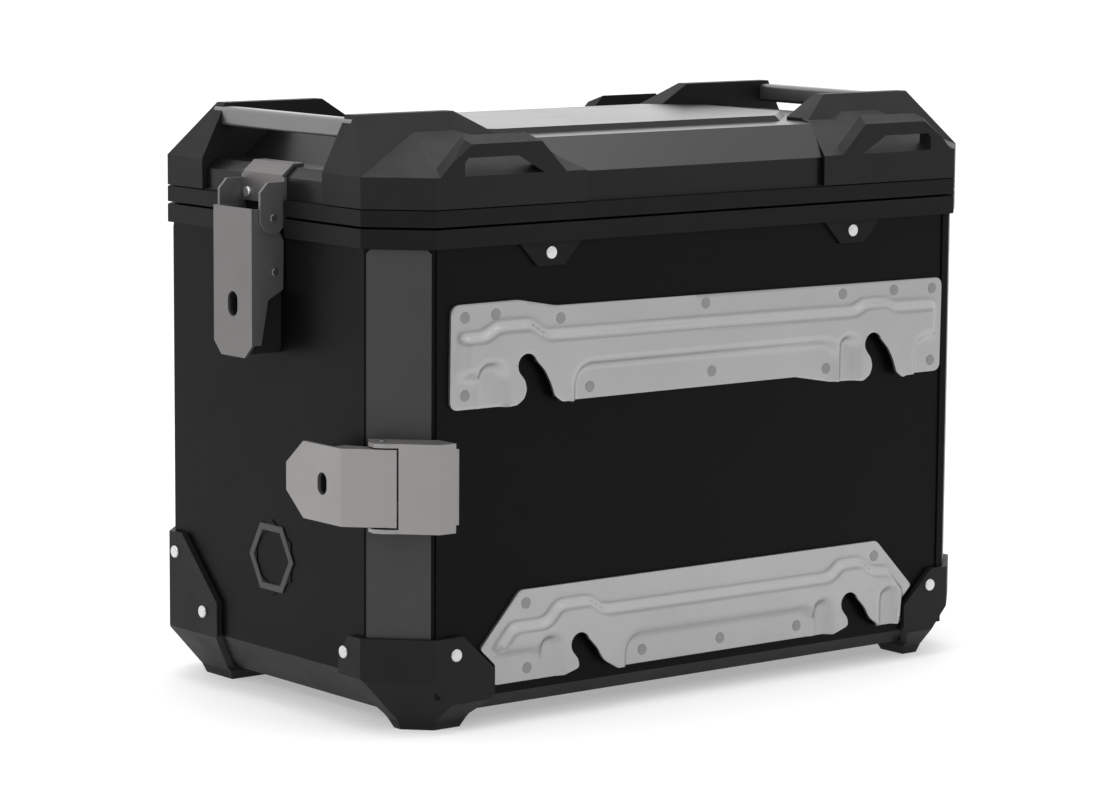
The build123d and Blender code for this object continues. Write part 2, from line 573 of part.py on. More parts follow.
# ---- end latches, drawn at the left end -------------------------------------------
def latch_bracket(screws):
    """Steel bracket on the lid's end: web, top flange and two ears round the hinge pin."""
    x = -HALF_LENGTH
    web = block((x - LATCH_SHEET, x), (-EAR_HALF, EAR_HALF), (WEB_BOTTOM, WEB_TOP))
    flange = prism_xz([(x, WEB_TOP), (x - LATCH_SHEET, WEB_TOP), (x - LATCH_SHEET, WEB_TOP + 1.5),
                       (x + 6.0, HAND_FLOOR + 2.2), (x + 14.0, HAND_FLOOR + 2.2),
                       (x + 14.0, HAND_FLOOR + 0.2), (x + 7.0, HAND_FLOOR + 0.2)],
                      -EAR_HALF + 2, EAR_HALF - 2)
    bracket = web + flange
    ear = [(x, 300.0), (x, EAR_TOP), (x - 14.0, EAR_TOP), (-HINGE_X - EAR_R, 312.5),
           (-HINGE_X - EAR_R, HINGE_Z), (-HINGE_X + EAR_R, HINGE_Z)]
    for y in (-EAR_HALF, EAR_HALF - LATCH_SHEET):
        bracket += prism_xz(ear, y, y + LATCH_SHEET)
        middle = (-HINGE_X, y + LATCH_SHEET / 2, HINGE_Z)
        bracket += bar(EAR_R, middle, LATCH_SHEET / 2, (0, 1, 0))
    bracket -= bar(PIN_R, (-HINGE_X, 0, HINGE_Z), 40, (0, 1, 0))
    return bracket - screws


def bracket_screws():
    """Two domed screws through the bracket's web."""
    x = -HALF_LENGTH
    return [rivet((x - LATCH_SHEET, y, SCREW_Z), (-1, 0, 0), LATCH_SHEET + SHEET, (3.6, 1.6))
            for y in (-SCREW_Y, SCREW_Y)]


def hinge_pin():
    pin = bar(PIN_R, (-HINGE_X, 0, HINGE_Z), EAR_HALF + PIN_PROUD, (0, 1, 0))
    return chamfer(pin.edges().filter_by(GeomType.CIRCLE), PIN_BEVEL)


def catch_pin():
    pin = bar(PIN_R, (-CATCH_X, 0, CATCH_Z), LEVER_HALF + PIN_PROUD, (0, 1, 0))
    return chamfer(pin.edges().filter_by(GeomType.CIRCLE), PIN_BEVEL)


def latch_lever():
    """U-section lever: web with the key slot, and two flanges that carry both pins."""
    outer, inner = -LEVER_FACE, -LEVER_FACE + LATCH_SHEET
    corner = LEVER_CORNER
    face = [(-LEVER_HALF, LEVER_TOP), (-LEVER_HALF, LEVER_BOTTOM + corner),
            (-LEVER_HALF + corner, LEVER_BOTTOM), (LEVER_HALF - corner, LEVER_BOTTOM),
            (LEVER_HALF, LEVER_BOTTOM + corner), (LEVER_HALF, LEVER_TOP)]
    lever = prism_yz(face, outer, inner)
    flange = [(outer, LEVER_BOTTOM + corner), (-257.5, LEVER_BOTTOM + corner), (-252.5, 246.5),
              (-241.4, 252.5), (-240.9, 282.5), (-243.5, 287.0), (-246.0, LEVER_TOP - 1),
              (outer, LEVER_TOP)]
    for y in (-LEVER_HALF, LEVER_HALF - LATCH_SHEET):
        lever += prism_xz(flange, y, y + LATCH_SHEET)
    lever -= bar(PIN_R + RUNNING, (-HINGE_X, 0, HINGE_Z), 40, (0, 1, 0))
    lever -= bar(PIN_R, (-CATCH_X, 0, CATCH_Z), 40, (0, 1, 0))
    lever -= oblong(KEY_SLOT_W, KEY_SLOT_H, (-LEVER_FACE, 0, KEY_SLOT_Z), 10)
    return lever


def body_catch(rivets):
    """Catch riveted to the body's end: two arms that the catch pin bears against."""
    x = -HALF_LENGTH
    catch = block((x - CATCH_THICK, x), (-CATCH_HALF, CATCH_HALF), CATCH_BASE_Z)
    arm = [(x - 1, 268), (x - 1, 280), (x - 5.0, 276), (x - 7.4, 270), (x - 6.6, 267.4),
           (x - 4.2, 266.0)]
    for y in CATCH_ARM_Y:
        catch += prism_xz(arm, y, y + CATCH_ARM_THICK)
    return catch - rivets


def catch_rivets():
    """Low rivets between and beside the arms of the catch."""
    x = -HALF_LENGTH
    return [rivet((x - CATCH_THICK, y, CATCH_RIVET_Z), (-1, 0, 0), CATCH_THICK + SHEET, SMALL_HEAD)
            for y in (-CATCH_RIVET_Y, CATCH_RIVET_Y)]


def lock_housing():
    """Black block behind the lever with the blind bore that takes a lock cylinder."""
    x = -HALF_LENGTH
    housing = block((x - HOUSING_DEEP, x), (-HOUSING_HALF, HOUSING_HALF), HOUSING_Z)
    housing = chamfer(housing.edges().filter_by(Axis.X), HOUSING_BEVEL)
    bore = oblong(KEY_SLOT_W, KEY_SLOT_H, (x - HOUSING_DEEP, 0, KEY_SLOT_Z), BORE_DEEP)
    return housing - bore


# ---- carrier latch ----------------------------------------------------------------
def offset_path(points, thickness):
    """Second side of a bent strip: its corners moved inwards by the sheet thickness."""
    moved = []
    for i, (x, y) in enumerate(points):
        normals = []
        for a, b in ((i - 1, i), (i, i + 1)):
            if a < 0 or b >= len(points):
                continue
            dx, dy = points[b][0] - points[a][0], points[b][1] - points[a][1]
            length = (dx ** 2 + dy ** 2) ** 0.5
            normals.append((-dy / length, dx / length))
        nx = sum(n[0] for n in normals) / len(normals)
        ny = sum(n[1] for n in normals) / len(normals)
        scale = thickness / (nx ** 2 + ny ** 2)
        moved.append((x + nx * scale, y + ny * scale))
    return moved


def strip_of(points, thickness, half):
    """A bent upright strip about the carrier latch's middle height."""
    outline = points + offset_path(points, thickness)[::-1]
    return prism_xy(outline, CARRIER_Z - half, CARRIER_Z + half)


def carrier_lever():
    """Bent lever: an arm along the end face, and a short arm on the 45 degree line."""
    bend = (CARRIER_FACE_X, CARRIER_DIAG - CARRIER_FACE_X)
    tip = (CARRIER_DIAG + 134.4, -134.4)
    lever = strip_of([(CARRIER_FACE_X, CARRIER_TIP_Y), bend, tip], CARRIER_SHEET, CARRIER_LEVER_HALF)
    half, cut = CARRIER_LEVER_HALF, 15.0
    for s in (-1, 1):
        z = CARRIER_Z + s * half
        lever -= prism_yz([(CARRIER_TIP_Y - 18, z), (CARRIER_TIP_Y + 3, z + s * 3),
                           (CARRIER_TIP_Y + 3, z - s * cut - s * 3),
                           (CARRIER_TIP_Y, z - s * cut)], -300, -200)
    x, y = CARRIER_PIVOT
    for s in (-1, 1):
        z0, z1 = sorted((CARRIER_Z + s * half, CARRIER_Z + s * (half - 2.5)))
        lever += prism_xy([(CARRIER_FACE_X + 1, -100), (CARRIER_FACE_X + 1, -111),
                           (CARRIER_DIAG + 130, -130), (x + 4.5, y - 2), (x + 3, y + 4.5),
                           (x - 4, y + 6), (x - 12, y + 20.8)], z0, z1)
    lever -= bar(PIN_R + RUNNING, (x, y, CARRIER_Z), 60, (0, 0, 1))
    lever -= oblong(CARRIER_SLOT_W, CARRIER_SLOT_H, (CARRIER_FACE_X, CARRIER_KEY_Y, CARRIER_Z), 10)
    return lever


def carrier_bracket(rivets):
    """Fixed bracket: base on the corner chamfer, pivot ears, 45 degree web and front lip."""
    chamfer_sum = -(HALF_LENGTH + HALF_WIDTH - CORNER)
    chamfer_sum -= STRIP_THICK * DIAG
    base_out = chamfer_sum - CARRIER_SHEET * DIAG
    half = CARRIER_BASE_HALF
    z0, z1 = CARRIER_Z - half, CARRIER_Z + half
    base = prism_xy([(-238.5, chamfer_sum + 238.5), (-211.5, chamfer_sum + 211.5),
                     (-211.5, base_out + 211.5), (-238.5, base_out + 238.5)], z0, z1)
    x, y = CARRIER_PIVOT
    web_start = (CARRIER_DIAG + 135.2, -135.2)
    web = strip_of([web_start, CARRIER_WEB_END, (CARRIER_LIP_X, CARRIER_WEB_END[1])],
                   CARRIER_SHEET, half)
    bracket = base + web
    ear = [(-238.5, chamfer_sum + 238.5), (x - 7.5, y + 3.5), (x - 9, y - 4), (x - 5, y - 9.4),
           web_start, CARRIER_WEB_END, (CARRIER_LIP_X, CARRIER_WEB_END[1]),
           (CARRIER_LIP_X, -HALF_WIDTH - 1.8), (-211.5, chamfer_sum + 211.5)]
    for z in (z0, z1 - CARRIER_SHEET):
        bracket += prism_xy(ear, z, z + CARRIER_SHEET)
    bracket -= bar(PIN_R, (x, y, CARRIER_Z), 60, (0, 0, 1))
    return bracket - rivets


def carrier_rivets():
    """Two rivets that hold the bracket's base to the corner chamfer."""
    centre = (-225.0, -(HALF_LENGTH + HALF_WIDTH - CORNER) + 225.0)
    reach = (CARRIER_SHEET + STRIP_THICK) / DIAG
    return [rivet((centre[0] - reach, centre[1] - reach, CARRIER_Z + dz), (-1, -1, 0),
                  CARRIER_SHEET + STRIP_THICK + SHEET, SMALL_HEAD)
            for dz in (-CARRIER_RIVET_RISE, CARRIER_RIVET_RISE)]


def carrier_pin():
    x, y = CARRIER_PIVOT
    pin = bar(PIN_R, (x, y, CARRIER_Z), CARRIER_BASE_HALF + 1.0, (0, 0, 1))
    return chamfer(pin.edges().filter_by(GeomType.CIRCLE), PIN_BEVEL)


def carrier_claw():
    """Sliding hook behind the bracket's lip that clamps the carrier's tube."""
    y = CARRIER_WEB_END[1] + CARRIER_SHEET + 0.35
    plate = block((-216.0, CLAW_TIP_X), (y, y + 3.0), (CARRIER_Z - CLAW_HALF, CARRIER_Z + CLAW_HALF))
    guide = block((-216.0, -206.0), (y + 2.9, -HALF_WIDTH - 4.0), (CARRIER_Z - 10, CARRIER_Z + 10))
    return plate + guide


def carrier_lock_housing():
    """Black block behind the carrier lever with the blind bore for its lock cylinder."""
    x = -HALF_LENGTH
    housing = block((x - CARRIER_HOUSING_DEEP, x), CARRIER_HOUSING_Y,
                    (CARRIER_Z - CARRIER_HOUSING_HALF, CARRIER_Z + CARRIER_HOUSING_HALF))
    housing = chamfer(housing.edges().filter_by(Axis.X), HOUSING_BEVEL)
    bore = oblong(CARRIER_SLOT_W, CARRIER_SLOT_H, (x - CARRIER_HOUSING_DEEP, CARRIER_KEY_Y, CARRIER_Z), CARRIER_BORE_DEEP)
    return housing - bore


# ---- making the pieces ------------------------------------------------------------
def make_body(parts):
    fasteners = {
        "collar_rivets": collar_rivets(),
        "upper_plate_rivets": plate_rivets(UPPER_RIVETS),
        "lower_plate_rivets": plate_rivets(LOWER_RIVETS),
        "carrier_latch_rivets": carrier_rivets(),
        "left_catch_rivets": catch_rivets(),
        "right_catch_rivets": [mirrored_x(r) for r in catch_rivets()],
    }
    guards = {(side, face): [to_corner(r, side, -1) for r in guard_rivets(face)]
              for side in (-1, 1) for face in (-1, 1)}
    fasteners["guard_rivets"] = [r for found in guards.values() for r in found]
    tools = {name: group(found) for name, found in fasteners.items()}

    everything = group([r for found in fasteners.values() for r in found])
    parts["case_shell"] = case_shell(everything)
    parts["top_collar"] = top_collar(tools["collar_rivets"])
    outer, inner = body_block(GUARD, 100), body_block(0, 101)
    for side_name, side in SIDES.items():
        for face_name, face in FACES.items():
            own = group(guard_rivets(face))
            guard = corner_guard(side, face, outer, inner, own)
            parts[f"corner_guard_{face_name}_{side_name}"] = guard
            strip = wear_strip(side, face)
            if side < 0 and face < 0:
                strip -= tools["carrier_latch_rivets"]
            parts[f"wear_strip_{face_name}_{side_name}"] = strip
    parts["upper_mount_plate"] = pressed_plate(UPPER_OUTLINE, UPPER_CHANNEL, UPPER_SEATS,
                                               tools["upper_plate_rivets"])
    parts["lower_mount_plate"] = pressed_plate(LOWER_OUTLINE, LOWER_CHANNEL, LOWER_SEATS,
                                               tools["lower_plate_rivets"])
    parts.update(tools)


def make_lid(parts):
    shell = lid_shell()
    lump = lid_block(0)
    rails = group([rail_space(-1), rail_space(1)])
    for side_name, side in SIDES.items():
        for face_name, face in FACES.items():
            parts[f"lid_cap_{face_name}_{side_name}"] = lid_cap(side, face, lump, rails)
        parts[f"grab_rail_{side_name}"] = grab_rail(side)
    screws = bracket_screws()
    both = group(screws + [mirrored_x(s) for s in screws])
    parts["lid_shell"] = shell - both
    parts["lid_frame"] = lid_frame() - both
    parts["lid_seal"] = lid_seal()


def make_latches(parts):
    pieces = {
        "latch_bracket": latch_bracket(group(bracket_screws())),
        "bracket_screws": group(bracket_screws()),
        "hinge_pin": hinge_pin(),
        "catch_pin": catch_pin(),
        "latch_lever": latch_lever(),
        "body_catch": body_catch(group(catch_rivets())),
        "lock_housing": lock_housing(),
    }
    for name, piece in pieces.items():
        parts[f"left_{name}"] = piece
        parts[f"right_{name}"] = mirrored_x(piece)


def make_carrier_latch(parts):
    parts["carrier_latch_bracket"] = carrier_bracket(group(carrier_rivets()))
    parts["carrier_latch_lever"] = carrier_lever()
    parts["carrier_latch_pin"] = carrier_pin()
    parts["carrier_latch_claw"] = carrier_claw()
    parts["carrier_lock_housing"] = carrier_lock_housing()


os.makedirs("parts", exist_ok=True)
pieces = {}
make_body(pieces)
make_lid(pieces)
make_latches(pieces)
make_carrier_latch(pieces)
for name, piece in pieces.items():
    export(name, piece)
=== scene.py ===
import bpy
import bmesh
import json
import math
from mathutils import Matrix, Vector


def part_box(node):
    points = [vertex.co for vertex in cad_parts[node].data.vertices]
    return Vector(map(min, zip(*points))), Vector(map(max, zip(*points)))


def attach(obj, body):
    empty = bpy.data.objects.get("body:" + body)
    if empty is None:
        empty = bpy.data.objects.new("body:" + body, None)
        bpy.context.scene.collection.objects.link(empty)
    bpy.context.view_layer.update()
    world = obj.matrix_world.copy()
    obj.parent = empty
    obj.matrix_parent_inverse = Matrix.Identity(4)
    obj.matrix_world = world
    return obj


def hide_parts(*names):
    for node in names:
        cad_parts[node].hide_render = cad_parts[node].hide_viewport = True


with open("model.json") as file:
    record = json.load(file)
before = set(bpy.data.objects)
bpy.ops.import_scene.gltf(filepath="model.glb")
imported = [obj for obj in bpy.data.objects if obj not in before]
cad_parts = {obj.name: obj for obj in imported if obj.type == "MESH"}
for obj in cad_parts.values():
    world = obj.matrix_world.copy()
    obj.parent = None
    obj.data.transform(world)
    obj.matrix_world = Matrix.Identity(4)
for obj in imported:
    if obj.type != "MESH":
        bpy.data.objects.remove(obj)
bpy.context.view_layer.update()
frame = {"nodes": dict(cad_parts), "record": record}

MM = 0.001
NODES = frame["nodes"]


# ---- camera -----------------------------------------------------------------------
CAMERA_PLACE = Vector((-1.6146, -2.0153, 0.5319))
CAMERA_AIM = Vector((0.6151, 0.7762, -0.1382))
CAMERA_UP = Vector((0.0806, 0.1124, 0.9904))
CAMERA_LENS = 129.08
SENSOR_WIDTH = 36
CLIP_NEAR, CLIP_FAR = 0.05, 60


def add_camera():
    data = bpy.data.cameras.new("camera")
    data.lens = CAMERA_LENS
    data.sensor_width = SENSOR_WIDTH
    data.clip_start, data.clip_end = CLIP_NEAR, CLIP_FAR
    camera = bpy.data.objects.new("camera", data)
    bpy.context.scene.collection.objects.link(camera)
    back = -CAMERA_AIM.normalized()
    right = CAMERA_UP.cross(back).normalized()
    up = back.cross(right)
    turn = Matrix((right, up, back)).transposed()
    camera.matrix_world = Matrix.Translation(CAMERA_PLACE) @ turn.to_4x4()
    bpy.context.scene.camera = camera


add_camera()


# ---- material helpers -------------------------------------------------------------
def new_material(name):
    material = bpy.data.materials.new(name)
    material.use_nodes = True
    tree = material.node_tree
    shader = tree.nodes["Principled BSDF"]
    return material, tree, shader


def add(tree, kind, **settings):
    node = tree.nodes.new(kind)
    for key, value in settings.items():
        if hasattr(node, key):
            setattr(node, key, value)
        else:
            node.inputs[key].default_value = value
    return node


def noise(tree, coords, scale, detail, roughness, stretch=None):
    """Fractal noise in object space, stretched along an axis if stretch is given."""
    source = coords.outputs["Object"]
    if stretch:
        mapping = add(tree, "ShaderNodeMapping")
        mapping.inputs["Scale"].default_value = stretch
        tree.links.new(source, mapping.inputs["Vector"])
        source = mapping.outputs["Vector"]
    node = add(tree, "ShaderNodeTexNoise")
    node.inputs["Scale"].default_value = scale
    node.inputs["Detail"].default_value = detail
    node.inputs["Roughness"].default_value = roughness
    tree.links.new(source, node.inputs["Vector"])
    return node.outputs["Fac"]


def ramp(tree, value, low, high, out_low=0.0, out_high=1.0):
    node = add(tree, "ShaderNodeMapRange")
    node.inputs["From Min"].default_value = low
    node.inputs["From Max"].default_value = high
    node.inputs["To Min"].default_value = out_low
    node.inputs["To Max"].default_value = out_high
    tree.links.new(value, node.inputs["Value"])
    return node.outputs["Result"]


def mix_colour(tree, fac, a, b):
    node = add(tree, "ShaderNodeMix", data_type="RGBA")
    node.inputs[6].default_value = (*a, 1)
    node.inputs[7].default_value = (*b, 1)
    tree.links.new(fac, node.inputs[0])
    return node.outputs[2]


def bump(tree, height, distance):
    node = add(tree, "ShaderNodeBump")
    node.inputs["Strength"].default_value = 1.0
    node.inputs["Distance"].default_value = distance
    tree.links.new(height, node.inputs["Height"])
    return node.outputs["Normal"]


CLOUD_BAND = (0.3, 0.7)      # part of the noise's range that a finish drifts over
CLOUD_SCALE = 6.0
SMUDGE_FINER = 5             # how much finer the roughness drifts than the colour


def surface(name, dark, light, roughness, grain_scale, grain_depth, specular, metallic=0.0,
            blotch=CLOUD_SCALE, stretch=None):
    """A finish: colour drifts between dark and light, roughness drifts, and grain is bumped."""
    material, tree, shader = new_material(name)
    coords = add(tree, "ShaderNodeTexCoord")
    clouds = noise(tree, coords, blotch, 6, 0.6)
    colour = mix_colour(tree, ramp(tree, clouds, *CLOUD_BAND), dark, light)
    tree.links.new(colour, shader.inputs["Base Color"])
    smudge = noise(tree, coords, blotch * SMUDGE_FINER, 5, 0.65)
    rough = ramp(tree, smudge, *CLOUD_BAND, *roughness)
    tree.links.new(rough, shader.inputs["Roughness"])
    grain = noise(tree, coords, grain_scale, 3, 0.6, stretch)
    tree.links.new(bump(tree, grain, grain_depth), shader.inputs["Normal"])
    shader.inputs["Metallic"].default_value = metallic
    shader.inputs["Specular IOR Level"].default_value = specular
    return material


SCUFF_SCALE, SCUFF_STRETCH = 26, (1.0, 1.0, 7.0)
SCUFF_BAND, SCUFF_STRENGTH = (0.66, 0.80), 0.35


def add_scuffs(material, light):
    """Sparse faint rubbing marks, from a noise drawn out along the piece."""
    tree = material.node_tree
    shader = tree.nodes["Principled BSDF"]
    colour = shader.inputs["Base Color"].links[0].from_socket
    coords = add(tree, "ShaderNodeTexCoord")
    marks = noise(tree, coords, SCUFF_SCALE, 5, 0.6, SCUFF_STRETCH)
    worn = add(tree, "ShaderNodeMix", data_type="RGBA")
    worn.inputs[7].default_value = (*light, 1)
    tree.links.new(ramp(tree, marks, *SCUFF_BAND, 0.0, SCUFF_STRENGTH), worn.inputs[0])
    tree.links.new(colour, worn.inputs[6])
    tree.links.new(worn.outputs[2], shader.inputs["Base Color"])


# Scale of each grain, and the height it stands, in metres.
PAINT_GRAIN, PAINT_PEEL = 1400, 0.000012
METAL_GRAIN, METAL_DEPTH = 900, 0.00001
PLASTIC_GRAIN, PLASTIC_DEPTH = 2200, 0.00006
METALLIC, METAL_SPECULAR, PLASTIC_SPECULAR = 0.85, 0.5, 0.15


def black_paint(name, level, roughness, specular, blotch=CLOUD_SCALE, peel=PAINT_PEEL):
    """Powder coat: near black, fine orange peel, and a few faint rubbing marks."""
    material = surface(name, (level,) * 3, (level * 1.35,) * 3, roughness, PAINT_GRAIN, peel,
                       blotch=blotch, specular=specular)
    add_scuffs(material, (level * 2,) * 3)
    return material


def bare_metal(name, tint, level, roughness, stretch=None):
    """Rolled or cast metal with cloudy tone and a fine grain."""
    dark, light = (tuple(level * k * c for c in tint) for k in (0.94, 1.04))
    return surface(name, dark, light, roughness, METAL_GRAIN, METAL_DEPTH, METAL_SPECULAR,
                   metallic=METALLIC, stretch=stretch)


def moulded(name, level, roughness):
    """Textured plastic with a spark-eroded grain."""
    material = surface(name, (level,) * 3, (level * 1.3,) * 3, roughness, PLASTIC_GRAIN,
                       PLASTIC_DEPTH, PLASTIC_SPECULAR)
    add_scuffs(material, (level * 2,) * 3)
    return material


NEUTRAL, WARM, COOL = (1, 1, 1), (1, 0.975, 0.96), (0.99, 0.985, 1)
ROLLED = (1.0, 12.0, 12.0)
FINISHES = {
    "body_paint": black_paint("body_paint", 0.002, (0.32, 0.42), 0.07),
    "strip_paint": black_paint("strip_paint", 0.030, (0.30, 0.40), 0.27),
    "lid_paint": black_paint("lid_paint", 0.004, (0.27, 0.31), 0.19,
                             blotch=2.0, peel=0.000006),
    "frame_paint": black_paint("frame_paint", 0.005, (0.40, 0.50), 0.1),
    "moulded_plastic": moulded("moulded_plastic", 0.008, (0.48, 0.60)),
    "plate_aluminium": bare_metal("plate_aluminium", COOL, 0.37, (0.30, 0.40), ROLLED),
    "rivet_aluminium": bare_metal("rivet_aluminium", NEUTRAL, 0.62, (0.30, 0.42)),
    "screw_steel": bare_metal("screw_steel", NEUTRAL, 0.58, (0.22, 0.32)),
    "rail_aluminium": bare_metal("rail_aluminium", NEUTRAL, 0.20, (0.32, 0.42), (12, 1, 12)),
    "seal_rubber": moulded("seal_rubber", 0.012, (0.70, 0.80)),
    "lock_plastic": moulded("lock_plastic", 0.010, (0.50, 0.60)),
    "pin_steel": bare_metal("pin_steel", NEUTRAL, 0.15, (0.30, 0.40)),
    "latch_steel": bare_metal("latch_steel", WARM, 0.28, (0.42, 0.52)),
}
SLOT_OF = {row["node"]: row["material_slot"] for row in frame["record"]["subparts"]}
# The end latches get a darker copy of the latch steel: painted shade, standing in for the shade on
# their recessed webs.
END_LATCH_SHADED_STEEL = bare_metal("end_latch_shaded_steel", WARM, 0.18, (0.45, 0.55))
FLUSH_METAL = bare_metal("flush_rivet_metal", COOL, 0.26, (0.45, 0.55))


def finish_of(node_name):
    """The slot's finish, apart from the end latches' darker steel, which is painted shade, and the
    flush plate rivets.
    """
    if SLOT_OF[node_name] == "latch_steel" and not node_name.startswith("carrier"):
        return END_LATCH_SHADED_STEEL
    if node_name.endswith("_plate_rivets"):
        return FLUSH_METAL
    return FINISHES[SLOT_OF[node_name]]


for name, node in NODES.items():
    node.data.materials.clear()
    node.data.materials.append(finish_of(name))


# ---- rounded edges on the carried-over pieces -------------------------------------
EDGE_RADIUS = {"body_paint": 1.2, "strip_paint": 0.3, "lid_paint": 1.6, "frame_paint": 0.6,
               "moulded_plastic": 1.1, "plate_aluminium": 0.5, "seal_rubber": 0.3,
               "lock_plastic": 0.5, "latch_steel": 0.5}
ROUND_SLOTS = ("rivet_aluminium", "screw_steel", "pin_steel", "rail_aluminium")
WELD_GAP = 0.00001
SMOOTH_UP_TO, FLAT_WITHIN, ROUNDED_FROM = 38, 0.5, 22      # degrees between two faces
ROUND_SEGMENTS = 3


def weld_facets(piece):
    weld = piece.modifiers.new("weld", "WELD")
    weld.merge_threshold = WELD_GAP


def smooth_round(piece):
    """Shades a turned or drawn piece smooth, up to its sharp edges."""
    weld_facets(piece)
    split = piece.modifiers.new("split", "EDGE_SPLIT")
    split.split_angle = math.radians(SMOOTH_UP_TO)
    for face in piece.data.polygons:
        face.use_smooth = True


def round_edges(piece, radius):
    """Joins the loose facets, merges flat ones, and rounds what is left of the edges."""
    weld_facets(piece)
    flat = piece.modifiers.new("flat", "DECIMATE")
    flat.decimate_type = "DISSOLVE"
    flat.angle_limit = math.radians(FLAT_WITHIN)
    bevel = piece.modifiers.new("bevel", "BEVEL")
    bevel.width = radius * MM
    bevel.segments = ROUND_SEGMENTS
    bevel.limit_method = "ANGLE"
    bevel.angle_limit = math.radians(ROUNDED_FROM)
    for face in piece.data.polygons:
        face.use_smooth = False


for name, node in NODES.items():
    if SLOT_OF[name] in ROUND_SLOTS:
        smooth_round(node)
    else:
        round_edges(node, EDGE_RADIUS[SLOT_OF[name]])


# ---- pressed mounting plates ------------------------------------------------------
ARC_STEP = 0.8               # spacing of the points on a rounded corner
CORNER_SHARE = 0.48          # most of a side that one corner's arc may take
HOOK_RADIUS = 7.4


def rounded_outline(corners):
    """An outline from (x, z, radius) corners in millimetres, each rounded by an arc."""
    outline = []
    for i, (x, z, radius) in enumerate(corners):
        here = Vector((x, z))
        before = Vector(corners[i - 1][:2]) - here
        after = Vector(corners[(i + 1) % len(corners)][:2]) - here
        turn = before.angle(after)
        reach = min(radius / math.tan(turn / 2), before.length * CORNER_SHARE,
                    after.length * CORNER_SHARE)
        start, end = here + before.normalized() * reach, here + after.normalized() * reach
        steps = max(2, int(reach / ARC_STEP)) if radius else 0
        if not steps:
            outline.append(here)
        for k in range(steps + 1 if steps else 0):
            t = k / steps
            outline.append(start * (1 - t) ** 2 + here * 2 * t * (1 - t) + end * t ** 2)
    return outline


def inside_distance(point, polygon):
    """Distance from a point to a polygon's edge, positive inside."""
    nearest, inside = 1e9, False
    for i, b in enumerate(polygon):
        a = polygon[i - 1]
        run = b - a
        t = max(0.0, min(1.0, (point - a).dot(run) / run.length_squared))
        nearest = min(nearest, (point - a - run * t).length)
        if (a.y > point.y) != (b.y > point.y):
            if point.x < a.x + (point.y - a.y) * run.x / run.y:
                inside = not inside
    return nearest if inside else -nearest


def smooth_step(value, low, high):
    t = max(0.0, min(1.0, (value - low) / (high - low)))
    return t * t * (3 - 2 * t)


def hook(x, z):
    """The hook slot's edge from right to left, as corners of a plate's lower outline."""
    seat = [(x + HOOK_RADIUS * math.cos(a), z + HOOK_RADIUS * math.sin(a), 0)
            for a in (math.radians(t) for t in range(20, 221, 20))]
    right = [(x + 26.5, z - 24.0, 4.0), (x + 21.0, z - 20.0, 4.0), (x + 18.0, z - 12.0, 20.0),
             (x + 13.5, z - 4.0, 20.0)]
    left = [(x - 2.0, z - 9.0, 5.0), (x - 0.6, z - 14.5, 5.0), (x - 2.6, z - 20.0, 5.0),
            (x - 8.0, z - 23.5, 5.0)]
    return right + seat + left


PLATE_SHEET = 2.0
PRESSED = 4.9
WALL_RUN = 5.0               # run of a pressed wall from flat to full height
GRID = 2.4                   # spacing of the cuts that let the sheet bend
PLATE_EDGE, PLATE_EDGE_SEGMENTS, PLATE_EDGE_FROM = 0.35, 2, 50


def pressed_plate(name, outline, fields, pockets):
    """A sheet with raised fields pressed out of it, except where a pocket stays flat."""
    low, high = (Vector(corner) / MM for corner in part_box(name))
    mesh = bmesh.new()
    face = mesh.faces.new([mesh.verts.new((p.x, 0, p.y)) for p in outline])
    for axis, start, end in ((0, low.x, high.x), (2, low.z - DRAWN_AT.z, high.z)):
        cut = start + GRID / 2
        while cut < end:
            place, normal = [0, 0, 0], [0, 0, 0]
            place[axis], normal[axis] = cut, 1
            bmesh.ops.bisect_plane(mesh, geom=mesh.verts[:] + mesh.edges[:] + mesh.faces[:],
                                   dist=0.0001, plane_co=place, plane_no=normal)
            cut += GRID
    for vert in mesh.verts:
        place = Vector((vert.co.x, vert.co.z))
        rise = max(smooth_step(inside_distance(place, f), 0, WALL_RUN) for f in fields)
        for pocket in pockets:
            rise = min(rise, 1 - smooth_step(inside_distance(place, pocket), -WALL_RUN, 0))
        vert.co = Vector((vert.co.x, -PRESSED * rise, vert.co.z)) + DRAWN_AT
        vert.co.y += high.y - PLATE_SHEET - DRAWN_AT.y
        vert.co *= MM
    bmesh.ops.recalc_face_normals(mesh, faces=mesh.faces[:])
    if mesh.faces[:][0].normal.y > 0:
        bmesh.ops.reverse_faces(mesh, faces=mesh.faces[:])
    data = bpy.data.meshes.new(name + "_pressed")
    mesh.to_mesh(data)
    mesh.free()
    piece = bpy.data.objects.new(name + "_pressed", data)
    bpy.context.scene.collection.objects.link(piece)
    for polygon in data.polygons:
        polygon.use_smooth = True
    thick = piece.modifiers.new("sheet", "SOLIDIFY")
    thick.thickness = PLATE_SHEET * MM
    thick.offset = -1
    edge = piece.modifiers.new("edge", "BEVEL")
    edge.width = PLATE_EDGE * MM
    edge.segments = PLATE_EDGE_SEGMENTS
    edge.limit_method = "ANGLE"
    edge.angle_limit = math.radians(PLATE_EDGE_FROM)
    data.materials.append(FINISHES["plate_aluminium"])
    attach(piece, "case")
    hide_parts(name)


SHELL_LOW, SHELL_HIGH = (Vector(corner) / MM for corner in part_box("case_shell"))
